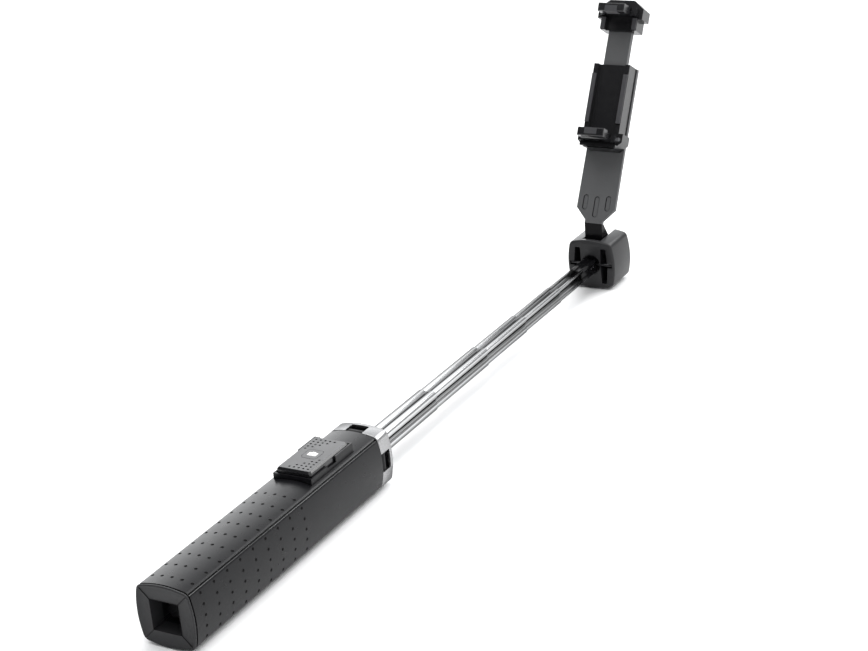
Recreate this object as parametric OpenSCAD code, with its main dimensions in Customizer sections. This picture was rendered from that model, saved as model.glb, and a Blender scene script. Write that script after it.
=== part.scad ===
// Telescopic selfie stick whose handle opens into four legs, with a sprung phone clamp
// on a tilting arm and a lift-off shutter remote. It lies along +Y, millimetres.

/* [Handle] */
// Width of the handle across two opposite sides
handle_width = 32.8; // [32.4:0.1:34]
// Radius of the rounded long edges
edge_radius = 3.5; // [3.2:0.1:3.8]
// Where the legs end and the silver collar begins
collar_start = 169.2; // [165:0.2:175]
// Length of the silver collar
collar_length = 10.4; // [10:0.1:12]
// Width of the square channel between the four legs
channel_width = 16.2; // [15.8:0.1:16.4]

/* [Tube] */
// Side of the widest drawn tube section
tube_width = 12; // [11.6:0.1:12.2]
// Width of the groove along each side of that section
groove_width = 2.4; // [2:0.1:2.4]
// Distance from the collar to the first step of the tube
first_section = 66.9; // [60:0.1:76]

/* [Head and arm] */
// Length of the head block along the stick
head_length = 26.3; // [25:0.1:30]
// How far the arm leans back from upright
arm_tilt = 30.4; // [25:0.1:40]
// Width of the flat arm plate
plate_width = 26.4; // [24:0.1:28]

/* [Clamp] */
// Height of the phone seat along the arm
seat_height = 81.4; // [80:0.1:84]
// Gap between the two hooks as stored
phone_gap = 78.1; // [76:0.1:82]

/* [Hidden] */
$fn = 48;
clearance = 0.3;
hinge_clearance = 0.05;
black = [0.09, 0.09, 0.1];
grey = [0.27, 0.27, 0.28];
silver = [0.78, 0.79, 0.8];
chrome = [0.86, 0.87, 0.89];
steel = [0.6, 0.6, 0.62];
rubber = [0.14, 0.14, 0.15];
white = [0.95, 0.95, 0.95];
green = [0.1, 0.35, 0.2];

half_width = handle_width / 2;
edge_centre = half_width - 4.9;
edge_inset = half_width - edge_centre;
side_radius = (pow(edge_centre, 2) + pow(edge_inset, 2) - pow(edge_radius, 2))
    / (2 * (edge_inset - edge_radius));
half_channel = channel_width / 2;
leg_gap = clearance / sqrt(2);
skin = 1.7;
flange = 1.3;
spine_top = half_channel + 1.5;
foot_rim = 1.4;
foot_depth = 8.5;
leg_end = collar_start - 0.4;
knuckle_block = leg_end - 8;
rib_thickness = 1.2;
rib_stations = [40, 72, 158];
dimple_pitch = 10.7;
dimple_start = 9;
dimple_rows = 9;
dimple_column = 5.7;
dimple_radius = 1.2;

leg_hinge_y = collar_start + 3.3;
leg_hinge_z = half_width - 3.4;
knuckle_radius = 2.4;
knuckle_width = 10;
leg_pin_radius = 0.9;
leg_pin_length = 19;
relief_radius = norm([leg_hinge_y - collar_start, half_width - leg_hinge_z]) + clearance;
window_width = knuckle_width + 2 * clearance;
window_depth = 7.6;
collar_end = collar_start + collar_length;
collar_wall = 2;
collar_face = 1.4;

tube_step = 0.425;
tube_wall = 0.35;
groove_depth = 0.5;
tube_corner = 2.5;
base_start = 12;
tube_tops = [collar_end, collar_end + first_section, collar_end + first_section + 62.5,
    collar_end + first_section + 113, collar_end + first_section + 161.2,
    collar_end + first_section + 194.5];
tube_lengths = [collar_end - base_start, 160, 158, 156, 154, 138];
last_tube = 5;
tube_end = tube_tops[last_tube];
neck_length = 21.3;
neck_root = 11;
neck_core = tube_width / 2 - 4 * tube_step - groove_depth - tube_wall;

head_start = tube_end + neck_length;
head_end = head_start + head_length;
face_wall = 2.7;
channel_front = head_start + face_wall;
channel_half = 6.5;
arm_hinge_y = head_start + 11.2;
arm_hinge_z = 11;
barrel_radius = 4.5;
arm_pin_radius = 1.5;
arm_pin_length = 24;
cross_pin_y = head_start + 1.7;
cross_pin_radius = 0.9;
cross_pin_length = 28.8;
slot_inner = 7.2;
slot_outer = 11.9;
slot_low = -12.4;
slot_high = 11.2;

plate_front = -7;
plate_back = -4.5;
plate_bottom = 27.8;
plate_shoulder = 35.6;
stem_half = 6.1;
housing_bottom = seat_height - 8.4;
housing_top = seat_height + 46.6;
clamp_front = -18.2;
clamp_half = 15.5;
trough_front = -15.5;
trough_half = 9.3;
cheek_half = 12.5;
hook_pin_n = -20.4;
hook_pin_radius = 0.8;
hook_barrel = 2.2;
hook_half = 9;
hook_front = -34.5;
lip_back = -27.9;
pad_half = 4.4;
upper_seat = seat_height + phone_gap;
slider_half = 8;
slider_front = -14;
slider_back = -10.4;
slider_gap = 0.15;

remote_start = 112;
remote_end = 149;
remote_half = 10.3;
remote_bottom = 15.1;
remote_split = 17.6;
remote_top = 21.4;
remote_wall = 1;
remote_chamfer = 0.9;
cradle_start = 110.7;
cradle_end = 150.3;
cradle_half = 11.4;
cradle_floor = 13.8;
button_y = 130.5;
button_half = 4.6;
button_corner = 1.8;
led_x = -4.65;
led_y = 140.5;

// Draws a flat shape, seen from the handle end, along Y from one place to another
module along_y(from, to) {
    translate([0, to, 0])
        rotate([90, 0, 0])
            linear_extrude(to - from)
                children();
}

// Draws a flat shape given as (y, z) along X, centred
module across_x(width) {
    rotate([90, 0, 90])
        translate([0, 0, -width / 2])
            linear_extrude(width)
                children();
}

// A round rod along X, centred at (y, z)
module rod_x(radius, length, y, z) {
    translate([0, y, z])
        rotate([0, 90, 0])
            cylinder(r = radius, h = length, center = true);
}

// Turns a part made for the top leg to another side of the handle
module on_side(side) {
    rotate([0, side * 90, 0])
        children();
}

// Rounded square with bulging sides: the outline of handle, collar and head
module outline(inset = 0) {
    tangent = edge_centre * (side_radius - inset) / (side_radius - edge_radius);
    intersection() {
        intersection_for(side = [0:3]) {
            rotate(side * 90)
                translate([0, half_width - side_radius])
                    circle(side_radius - inset, $fn = 180);
        }
        union() {
            square([2 * tangent, 2 * handle_width], center = true);
            square([2 * handle_width, 2 * tangent], center = true);
            for (x = [-1, 1], y = [-1, 1]) {
                translate([x, y] * edge_centre)
                    circle(edge_radius - inset);
            }
        }
    }
}

// The quarter of the section that belongs to the top leg, above a given height
module leg_sector(height, margin = 0) {
    start = leg_gap + margin * sqrt(2);
    reach = handle_width;
    polygon([
        [height - start, height],
        [reach - start, reach],
        [start - reach, reach],
        [start - height, height]
    ]);
}

// Rounded square with a groove along the middle of each side
module fluted_square(half, corner, groove) {
    difference() {
        rounded_square(half, half, corner);
        for (side = [0:3]) {
            rotate(side * 90)
                translate([-groove, half - groove_depth])
                    square([2 * groove, 2 * groove_depth]);
        }
    }
}

module rounded_square(half_x, half_y, corner) {
    square([2 * half_x, 2 * (half_y - corner)], center = true);
    square([2 * (half_x - corner), 2 * half_y], center = true);
    for (x = [-1, 1], y = [-1, 1]) {
        translate([x * (half_x - corner), y * (half_y - corner)])
            circle(corner);
    }
}

// Section of tube number n; the fixed base tube is 0 and the thinnest is 5
module tube_section(n, inset = 0) {
    shrink = (n - 1) * tube_step;
    fluted_square(
        tube_width / 2 - shrink - inset,
        tube_corner - shrink - inset,
        groove_width / 2 + shrink + inset
    );
}

module tube(n) {
    color(chrome)
        along_y(tube_tops[n] - tube_lengths[n], tube_tops[n])
            difference() {
                tube_section(n);
                tube_section(n, tube_wall);
            }
}

// A leg ends outside this disc round its hinge, so that it clears the collar as it opens
module leg_relief() {
    rod_x(relief_radius, 2 * handle_width, leg_hinge_y, leg_hinge_z);
}

module leg_dimples() {
    for (row = [0:dimple_rows - 1], column = [-2:2]) {
        x = column * dimple_column;
        surface = half_width - side_radius + sqrt(pow(side_radius, 2) - pow(x, 2));
        translate([x, dimple_start + row * dimple_pitch, surface + dimple_radius * 0.75])
            sphere(dimple_radius, $fn = 24);
    }
}

module leg_shell(side, holds_remote = false) {
    color(black)
        on_side(side)
            difference() {
                union() {
                    along_y(foot_rim, leg_end)
                        intersection() {
                            difference() {
                                outline();
                                outline(skin);
                            }
                            leg_sector(half_channel);
                        }
                    along_y(foot_depth, leg_end)
                        intersection() {
                            outline(skin / 2);
                            difference() {
                                leg_sector(half_channel);
                                leg_sector(half_channel, flange);
                            }
                        }
                }
                leg_relief();
                leg_dimples();
                if (holds_remote) {
                    translate([-cradle_half, cradle_start, cradle_floor])
                        cube([2 * cradle_half, cradle_end - cradle_start, handle_width]);
                }
            }
}

module leg_spine(side, stations) {
    color(black)
        on_side(side)
            difference() {
                union() {
                    along_y(foot_depth, leg_end)
                        leg_floor(spine_top);
                    for (station = stations) {
                        along_y(station, station + rib_thickness)
                            leg_inside();
                    }
                    difference() {
                        along_y(knuckle_block, leg_end)
                            leg_inside();
                        leg_relief();
                    }
                    leg_knuckle();
                }
                rod_x(leg_pin_radius + hinge_clearance, 2 * knuckle_width, leg_hinge_y, leg_hinge_z);
            }
}

// The space between the skin and flanges of the top leg
module leg_inside() {
    intersection() {
        outline(skin);
        leg_sector(half_channel, flange);
    }
}

module leg_floor(top) {
    intersection() {
        leg_inside();
        translate([-handle_width, half_channel])
            square([2 * handle_width, top - half_channel]);
    }
}

module leg_knuckle() {
    tongue_low = leg_hinge_z - knuckle_radius;
    tongue_high = half_width - skin - 0.2;
    translate([-knuckle_width / 2, knuckle_block, tongue_low])
        cube([knuckle_width, leg_hinge_y - knuckle_block, tongue_high - tongue_low]);
    rod_x(knuckle_radius, knuckle_width, leg_hinge_y, leg_hinge_z);
}

module leg_foot(side) {
    color(rubber)
        on_side(side) {
            along_y(0, foot_rim)
                intersection() {
                    outline();
                    leg_sector(half_channel);
                }
            along_y(foot_rim, foot_depth)
                intersection() {
                    outline(skin);
                    leg_sector(half_channel);
                }
        }
}

module collar_ring() {
    color(silver)
        difference() {
            along_y(collar_start, collar_end)
                outline();
            along_y(collar_start - 1, collar_end - collar_face)
                outline(collar_wall);
            along_y(collar_start - 1, collar_end + 1)
                tube_section(0);
            for (side = [0:3]) {
                on_side(side) {
                    collar_window();
                    leg_pin();
                }
            }
        }
}

// The opening that a leg's knuckle swings in
module collar_window() {
    translate([-window_width / 2, collar_start - 1, leg_hinge_z - knuckle_radius - clearance])
        cube([window_width, window_depth + 1, handle_width]);
}

module collar_core() {
    color(black)
        difference() {
            along_y(collar_start, collar_end - collar_face)
                difference() {
                    outline(collar_wall);
                    tube_section(0);
                }
            for (side = [0:3]) {
                on_side(side) {
                    collar_window();
                    leg_pin();
                }
            }
        }
}

module leg_pin() {
    rod_x(leg_pin_radius, leg_pin_length, leg_hinge_y, leg_hinge_z);
}

module leg_hinge_pins() {
    color(steel)
        for (side = [0:3]) {
            on_side(side)
                leg_pin();
        }
}

module base_plug() {
    color(black) {
        along_y(base_start - 1.5, base_start)
            tube_section(0);
        along_y(base_start, base_start + 6)
            tube_section(0, tube_wall);
    }
}

module remote_cradle() {
    wall_low = 18.6;
    wall_high = 20.4;
    notch = [126, 134];
    color(black)
        difference() {
            translate([-cradle_half, cradle_start, cradle_floor])
                cube([2 * cradle_half, cradle_end - cradle_start, wall_high - cradle_floor]);
            translate([-remote_half - clearance, remote_start - clearance, remote_bottom - 0.2])
                cube([2 * (remote_half + clearance), remote_end - remote_start + 2 * clearance, 20]);
            translate([-handle_width, 0, wall_low])
                cube([2 * handle_width, notch[1], 20]);
            translate([-handle_width, notch[0], wall_low - 1.4])
                cube([2 * handle_width, notch[1] - notch[0], 20]);
            translate([-8, remote_end, wall_low])
                cube([16, 5, 20]);
        }
}

module remote_footprint(inset = 0) {
    translate([0, (remote_start + remote_end) / 2])
        rounded_square(
            remote_half - inset,
            (remote_end - remote_start) / 2 - inset,
            1.5 - inset
        );
}

module remote_layer(low, high, inset = 0) {
    translate([0, 0, low])
        linear_extrude(high - low)
            remote_footprint(inset);
}

module remote_tray() {
    color(black)
        difference() {
            remote_layer(remote_bottom, remote_split);
            remote_layer(remote_bottom + 0.9, remote_split + 1, remote_wall);
        }
}

module remote_cover() {
    color(grey)
        difference() {
            union() {
                remote_layer(remote_split, remote_top - remote_chamfer);
                remote_layer(remote_split, remote_top, 0.5);
            }
            remote_layer(remote_split - 1, remote_top - remote_wall, remote_wall);
            button_block(button_half + 0.15, 0, 20);
            translate([led_x, led_y, 0])
                cylinder(r = 0.6, h = 30, $fn = 24);
        }
}

// A rounded square column over the shutter button
module button_block(half, low, high) {
    translate([0, button_y, remote_split + low])
        linear_extrude(high - low)
            rounded_square(half, half, button_corner);
}

module remote_board() {
    color(green)
        translate([-9, remote_start + 1.5, remote_split + 0.25])
            cube([18, remote_end - remote_start - 3, 0.8]);
}

module coin_cell() {
    color(steel)
        translate([0, 121.5, remote_bottom + 0.95])
            cylinder(r = 6.25, h = 1.6);
}

module remote_led() {
    color(white)
        translate([led_x, led_y, remote_split + 1.05])
            cylinder(r = 0.6, h = remote_top - remote_split - 1.05, $fn = 24);
}

module shutter_button() {
    cap = remote_top - remote_split;
    color(grey)
        difference() {
            union() {
                button_block(button_half, 1.65, cap);
                button_block(button_half + 0.7, 1.65, 2.05);
            }
            button_mark(0.2);
        }
}

// A plain camera sign: a body with a raised finder and a ring for the lens
module button_mark(depth) {
    translate([0, button_y, remote_top - depth])
        linear_extrude(1)
            difference() {
                union() {
                    square([5.2, 3.2], center = true);
                    translate([0, 1.85])
                        square([2.1, 0.9], center = true);
                }
                difference() {
                    circle(1.15);
                    circle(0.7);
                }
            }
}

module button_icon() {
    color(white)
        intersection() {
            button_mark(0.2);
            button_block(button_half, 0, remote_top - remote_split);
        }
}

module neck_plug() {
    color(black)
        difference() {
            union() {
                along_y(tube_end - neck_root, tube_end + 1)
                    rounded_square(neck_core, neck_core, 0.8);
                along_y(tube_end, head_start + face_wall)
                    tube_section(last_tube);
            }
            rod_x(cross_pin_radius, cross_pin_length, cross_pin_y, 0);
            neck_rivets();
        }
}

// Rivets that end just proud of the groove, so they pass inside the next tube
module neck_rivets() {
    floor_x = neck_core + tube_wall;
    depth = 1;
    proud = 0.03;
    color(steel)
        for (y = [head_start - 3.4, head_start - 6.6]) {
            translate([floor_x - depth, y, 0])
                rotate([0, 90, 0])
                    cylinder(r = 0.7, h = depth + proud, $fn = 24);
        }
}

module head_block() {
    color(black)
        difference() {
            along_y(head_start, head_end)
                outline();
            along_y(head_start - 1, head_start + face_wall)
                tube_section(last_tube);
            along_y(head_start - 1, head_start + 2)
                circle(6.5);
            translate([-channel_half, channel_front, arm_hinge_z - barrel_radius - clearance])
                cube([2 * channel_half, head_length, handle_width]);
            for (side = [0, 1]) {
                mirror([side, 0, 0])
                    head_slot();
            }
            rod_x(cross_pin_radius, cross_pin_length, cross_pin_y, 0);
            rod_x(arm_pin_radius, arm_pin_length, arm_hinge_y, arm_hinge_z);
        }
}

// One tapered slot of the near face, with the pocket round the end of the cross pin
module head_slot() {
    along_y(head_start - 1, head_start + 9)
        polygon([
            [slot_inner, slot_high],
            [slot_inner - 0.5, 0],
            [slot_inner, slot_low],
            [slot_outer - 1.4, slot_low],
            [slot_outer, 0],
            [slot_outer - 1.3, slot_high]
        ]);
    translate([slot_outer - 1, head_start - 1, -1.3])
        cube([cross_pin_length / 2 - slot_outer + 1.2, 4, 2.6]);
}

module cross_pin() {
    color(steel)
        rod_x(cross_pin_radius, cross_pin_length, cross_pin_y, 0);
}

module arm_hinge_pin() {
    color(steel)
        rod_x(arm_pin_radius, arm_pin_length, arm_hinge_y, arm_hinge_z);
}

// Places parts drawn in the arm's own axes: Y through its thickness, Z along it
module on_arm() {
    translate([0, head_start, 0])
        rotate([-arm_tilt, 0, 0])
            children();
}

// A block given by half width, near and far faces, and low and high ends
module arm_block(half, near, far, low, high) {
    translate([-half, near, low])
        cube([2 * half, far - near, high - low]);
}

// Where a point (y, z) of the stick lies in the arm's own axes
function arm_local(y, z) = [
    (y - head_start) * cos(arm_tilt) - z * sin(arm_tilt),
    (y - head_start) * sin(arm_tilt) + z * cos(arm_tilt)
];

module arm_plate() {
    plate_top = housing_top;
    color(grey)
        difference() {
            union() {
                on_arm()
                    translate([0, plate_back, 0])
                        rotate([90, 0, 0])
                            linear_extrude(plate_back - plate_front)
                                polygon([
                                    [-stem_half, plate_bottom - 2],
                                    [-stem_half, plate_bottom],
                                    [-plate_width / 2 - 0.2, plate_shoulder],
                                    [-plate_width / 2, housing_bottom],
                                    [-plate_width / 2, plate_top],
                                    [plate_width / 2, plate_top],
                                    [plate_width / 2, housing_bottom],
                                    [plate_width / 2 + 0.2, plate_shoulder],
                                    [stem_half, plate_bottom],
                                    [stem_half, plate_bottom - 2]
                                ]);
                on_arm()
                    across_x(2 * stem_half - 0.1)
                        arm_stem();
            }
            rod_x(arm_pin_radius + hinge_clearance, 30, arm_hinge_y, arm_hinge_z);
            plate_recess(-7.9, 36, 42.5);
            plate_recess(0, 31.5, 41.7);
            plate_recess(7.9, 36, 42.5);
        }
}

// The bent neck of the arm, seen from the side, with the barrel it turns on
module arm_stem() {
    polygon([
        [plate_front + 0.05, plate_bottom],
        [plate_front + 0.05, plate_bottom - 2],
        arm_local(head_start + 6.7, 20),
        arm_local(arm_hinge_y - barrel_radius + 0.05, arm_hinge_z),
        arm_local(arm_hinge_y, arm_hinge_z - 1),
        arm_local(arm_hinge_y + barrel_radius - 0.05, arm_hinge_z),
        arm_local(head_start + 15.5, 16),
        [plate_back - 0.05, plate_bottom - 1.5],
        [plate_back - 0.05, plate_bottom]
    ]);
    translate(arm_local(arm_hinge_y, arm_hinge_z))
        circle(barrel_radius);
}

// A long shallow recess in the front of the arm plate
module plate_recess(x, low, high) {
    radius = 1.65;
    depth = 0.5;
    on_arm()
        translate([x, plate_front + depth, 0])
            rotate([90, 0, 0])
                linear_extrude(depth + 1) {
                    translate([0, low])
                        circle(radius);
                    translate([0, high])
                        circle(radius);
                    translate([-radius, low])
                        square([2 * radius, high - low]);
                }
}

// Front view of a clamp body: a block whose two outer corners are cut off
module clamp_outline(inner, outer, cut_x, cut_u) {
    bevel = sign(outer - inner) * cut_u;
    polygon([
        [-clamp_half, inner],
        [-clamp_half, outer - bevel],
        [cut_x - clamp_half, outer],
        [clamp_half - cut_x, outer],
        [clamp_half, outer - bevel],
        [clamp_half, inner]
    ]);
}

module clamp_body(inner, outer, cut_x, cut_u) {
    translate([0, plate_front, 0])
        rotate([90, 0, 0])
            linear_extrude(plate_front - clamp_front)
                clamp_outline(inner, outer, cut_x, cut_u);
}

// The two ears that hold a hook's pin
module hook_cheeks(u) {
    for (side = [0, 1]) {
        mirror([side, 0, 0])
            translate([trough_half, clamp_front - 4.6, u - 2.6])
                cube([cheek_half - trough_half, 5, 5.2]);
    }
}

module hook_pin(u, extra = 0) {
    rod_x(hook_pin_radius + extra, 2 * cheek_half - 1, hook_pin_n, u);
}

module clamp_housing() {
    hook_u = seat_height - 2.4;
    color(black)
        on_arm()
            difference() {
                union() {
                    clamp_body(seat_height + 1.6, housing_bottom, 5, 4.5);
                    arm_block(cheek_half, clamp_front, plate_front, seat_height, housing_top);
                    arm_block(cheek_half, clamp_front - 2.4, clamp_front, housing_bottom + 0.6,
                        housing_bottom + 2.4);
                    hook_cheeks(hook_u);
                }
                arm_block(trough_half, -40, trough_front, housing_bottom + 2.4, 200);
                arm_block(slider_half + slider_gap, slider_front - slider_gap,
                    slider_back + slider_gap, housing_bottom + 2.2, 200);
                hook_pin(hook_u);
                screw_shape(0);
            }
}

// A small countersunk screw through the lower right corner of the clamp body
module screw_shape(recess) {
    translate([13, clamp_front + recess, housing_bottom + 6.2])
        rotate([-90, 0, 0]) {
            cylinder(r = 1.2, h = 1, $fn = 32);
            cylinder(r = 0.7, h = 8, $fn = 32);
        }
}

module clamp_screw() {
    color(steel)
        on_arm()
            screw_shape(0);
}

module back_pads_lower() {
    color(rubber)
        on_arm()
            for (side = [0, 1]) {
                mirror([side, 0, 0])
                    translate([trough_half + 0.2, clamp_front - 1.2, seat_height + 8])
                        cube([2.8, 1.2, 32]);
            }
}

// Side view of a hook that reaches out from its pin and up over the phone's edge
module hook_profile() {
    polygon([
        [hook_pin_n, -hook_barrel],
        [lip_back, -2.2],
        [lip_back - 1, -1.8],
        [hook_front + 0.5, -1.8],
        [hook_front, -1.3],
        [hook_front, 3.1],
        [hook_front + 0.5, 3.6],
        [lip_back, 3.6],
        [lip_back, hook_barrel],
        [hook_pin_n, hook_barrel]
    ]);
    translate([hook_pin_n, 0])
        circle(hook_barrel);
}

module hook_shape() {
    difference() {
        union() {
            across_x(2 * hook_half - 0.4)
                hook_profile();
            arm_block(hook_half, hook_front + 0.5, lip_back, -1.8, 3.6);
        }
        hook_pin(0, hinge_clearance);
        arm_block(pad_half, -40, lip_back + 0.1, -0.6, 10);
    }
}

module hook_pad_shape() {
    arm_block(pad_half, hook_front + 0.2, lip_back, -0.6, 3.6);
}

module hook_lower() {
    color(black)
        on_arm()
            translate([0, 0, seat_height - 2.4])
                hook_shape();
}

module hook_pad_lower() {
    color(rubber)
        on_arm()
            translate([0, 0, seat_height - 2.4])
                hook_pad_shape();
}

module hook_pin_lower() {
    color(steel)
        on_arm()
            hook_pin(seat_height - 2.4);
}

module clamp_slider() {
    color(grey)
        on_arm()
            arm_block(slider_half, slider_front, slider_back, housing_bottom + 25, upper_seat + 6);
}

module clamp_top() {
    hook_u = upper_seat + 2.4;
    color(black)
        on_arm()
            difference() {
                union() {
                    clamp_body(upper_seat - 1.6, upper_seat + 10.6, 7, 5.3);
                    arm_block(cheek_half, clamp_front, plate_front, upper_seat - 9, upper_seat);
                    hook_cheeks(hook_u);
                }
                arm_block(trough_half, -40, trough_front, 0, upper_seat + 5.2);
                arm_block(slider_half, slider_front, slider_back, 0, upper_seat + 6);
                hook_pin(hook_u);
            }
}

module back_pad_upper() {
    color(rubber)
        on_arm()
            for (side = [0, 1]) {
                mirror([side, 0, 0])
                    translate([trough_half + 0.2, clamp_front - 1.2, upper_seat - 8.5])
                        cube([2.8, 1.2, 7.5]);
            }
}

module hook_upper() {
    color(black)
        on_arm()
            translate([0, 0, upper_seat + 2.4])
                mirror([0, 0, 1])
                    hook_shape();
}

module hook_pad_upper() {
    color(rubber)
        on_arm()
            translate([0, 0, upper_seat + 2.4])
                mirror([0, 0, 1])
                    hook_pad_shape();
}

module hook_pin_upper() {
    color(steel)
        on_arm()
            hook_pin(upper_seat + 2.4);
}

collar_ring();
collar_core();
leg_hinge_pins();
tube(0);  // tube_base
base_plug();
leg_shell(0, true);  // leg_shell_top
leg_spine(0, rib_stations);  // leg_spine_top
leg_foot(0);  // leg_foot_top
remote_cradle();
leg_shell(1);  // leg_shell_right
leg_spine(1, rib_stations);  // leg_spine_right
leg_foot(1);  // leg_foot_right
leg_shell(2);  // leg_shell_bottom
leg_spine(2, rib_stations);  // leg_spine_bottom
leg_foot(2);  // leg_foot_bottom
leg_shell(3);  // leg_shell_left
leg_spine(3, rib_stations);  // leg_spine_left
leg_foot(3);  // leg_foot_left
remote_tray();
remote_cover();
remote_board();
coin_cell();
remote_led();
shutter_button();
button_icon();
tube(1);  // tube_1
tube(2);  // tube_2
tube(3);  // tube_3
tube(4);  // tube_4
tube(5);  // tube_5
neck_plug();
neck_rivets();
head_block();
cross_pin();
arm_hinge_pin();
arm_plate();
clamp_housing();
clamp_screw();
back_pads_lower();
hook_pin_lower();
hook_lower();
hook_pad_lower();
clamp_slider();
clamp_top();
back_pad_upper();
hook_pin_upper();
hook_upper();
hook_pad_upper();
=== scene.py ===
import math

import bmesh
import bpy
from mathutils import Matrix, Vector


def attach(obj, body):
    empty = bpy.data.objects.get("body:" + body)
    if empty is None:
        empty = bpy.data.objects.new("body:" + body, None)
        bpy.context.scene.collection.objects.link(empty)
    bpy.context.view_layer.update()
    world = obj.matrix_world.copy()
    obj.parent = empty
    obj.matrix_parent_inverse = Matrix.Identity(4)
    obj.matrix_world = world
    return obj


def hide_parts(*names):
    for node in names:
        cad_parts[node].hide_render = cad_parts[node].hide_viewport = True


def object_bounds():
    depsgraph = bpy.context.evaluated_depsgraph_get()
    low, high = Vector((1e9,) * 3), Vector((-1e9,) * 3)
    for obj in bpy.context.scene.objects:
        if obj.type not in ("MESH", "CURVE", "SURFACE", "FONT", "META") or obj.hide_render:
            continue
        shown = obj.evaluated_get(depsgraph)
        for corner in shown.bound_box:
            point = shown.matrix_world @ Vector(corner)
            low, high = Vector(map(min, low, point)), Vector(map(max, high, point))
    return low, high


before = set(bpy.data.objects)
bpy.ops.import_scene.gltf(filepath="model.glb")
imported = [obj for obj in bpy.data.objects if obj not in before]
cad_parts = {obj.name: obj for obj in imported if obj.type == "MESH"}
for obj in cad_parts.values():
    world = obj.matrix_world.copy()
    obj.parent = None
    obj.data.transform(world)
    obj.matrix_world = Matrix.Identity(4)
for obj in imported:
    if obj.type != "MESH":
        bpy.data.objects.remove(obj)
cad_low, cad_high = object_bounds()

# ---------------------------------------------------------------- sizes, in millimetres
MM = 0.001
# further from the stick's axis than its handle, collar and head reach
OUTSIDE = 30

# the outline that handle, collar and head share, and how finely curves are drawn
HALF_WIDTH = 16.4
EDGE_CENTRE = 11.5
EDGE_RADIUS = 3.5
EDGE_INSET = HALF_WIDTH - EDGE_CENTRE
SIDE_RADIUS = (EDGE_CENTRE**2 + EDGE_INSET**2 - EDGE_RADIUS**2) / (2 * (EDGE_INSET - EDGE_RADIUS))
SIDE_STEPS = 64
EDGE_STEPS = 16
FILLET_STEPS = 5

# the legs' walls, and the stepped seams between them
HALF_CHANNEL = 8.1
LEG_GAP = 0.06
SEAM_HALF = 0.26
SEAM_DEPTH = 0.9
LIP = 0.5
LIP_REACH = EDGE_CENTRE * math.sqrt(2) + EDGE_RADIUS
SKIN = 1.7
FLANGE = 1.3
SHELL_START = 1.75
SHELL_END_FLOOR = 12.5
FOOT_DEPTH = 8.5
LEG_END = 168.8
LEG_HINGE = (172.5, 13.0)
HINGE_RELIEF = 4.76
CRADLE_HOLE = ((-11.4, 111, 13.8), (11.4, 151, OUTSIDE))

# the dimples, each pressed by a ball whose centre lies just above the skin
DIMPLE_ROWS = 9
DIMPLE_COLUMNS = (-2, -1, 0, 1, 2)
DIMPLE_START = 9.0
ROW_PITCH = 10.7
COLUMN_PITCH = 5.7
BALL_RADIUS = 1.0
BALL_HEIGHT = 0.45

# the collar
COLLAR_START = 169.2
COLLAR_END = 179.6
COLLAR_WALL = 2.0
COLLAR_FACE = 1.4
WINDOW_HALF = 5.3
WINDOW_FLOOR = 10.3
WINDOW_LENGTH = 7.6

# the tube sections, numbered from 0 for the fixed one to 5 for the thinnest; TUBE_HALF is half
# of section 1's width, and points beyond GROOVE_REACH from a side's middle lie on its lobes
BASE_START = 12.0
TUBE_HALF = 6
TUBE_STEP = 0.425
TUBE_WALL = 0.35
LOBE_RADIUS = 2.5
SHOULDER_RADIUS = 1.8
HOLLOW_RADIUS = 2.3
LEAST_RADIUS = 0.05
GROOVE_DEPTH = 1.0
GROOVE_HALF = 2.0
GROOVE_SLOPE = math.radians(42)
GROOVE_REACH = GROOVE_HALF + 0.6
TUBE_TOPS = [179.6, 246.5, 309.0, 359.5, 407.7, 441.0]
TUBE_LENGTHS = [167.6, 160.0, 158.0, 156.0, 154.0, 138.0]
PLUG_CAP = 1.5
PLUG_LENGTH = 6
PLUG_INSET = 0.4

# the head and its neck
NECK_ROOT_HALF = 2.85
NECK_ROOT_LENGTH = 11
HEAD_START = 462.3
HEAD_END = 488.6
RIVET_PLACES = (HEAD_START - 3.4, HEAD_START - 6.6)
FACE_WALL = 2.7
FACE_RECESS_RADIUS = 6.5
FACE_RECESS_DEPTH = 2.2
SLOT_DEPTH = 9
CHANNEL_HALF = 6.5
CROSS_PIN = (464.0, 0.0)

# the arm: its plate is drawn with Y through it and Z along it, then put in place by ARM_PLACE
ARM_HINGE = (473.5, 11.0)
ARM_PIN_RADIUS = 1.5
BARREL_RADIUS = 4.5
STEM_HALF = 6.05
ARM_TILT = math.radians(30.4)
ARM_PLACE = Matrix.Translation((0, HEAD_START * MM, 0)) @ Matrix.Rotation(-ARM_TILT, 4, "X")
PLATE_FRONT = -7.0
PLATE_BACK = -4.5

# the remote
REMOTE_CENTRE = (0, 130.5)
REMOTE_HALF = (10.3, 18.5)
REMOTE_CORNER = 1.6
REMOTE_SPLIT = 17.6
REMOTE_TOP = 21.4
REMOTE_BEVEL = 1.1
REMOTE_WALL = 1.2
BUTTON_HOLE_HALF = 4.75
BUTTON_HOLE_CORNER = 1.9
LAMP_PLACE = (-4.65, 140.5)
DOT_RADIUS = 0.62
DOT_DEPTH = 0.6
DOT_PITCH = (2.78, 2.68)
DOT_ROWS = 5
NEAR_DOT = (7.1, 115.1)
FAR_DOT = (-7.43, 145.86)


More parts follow.
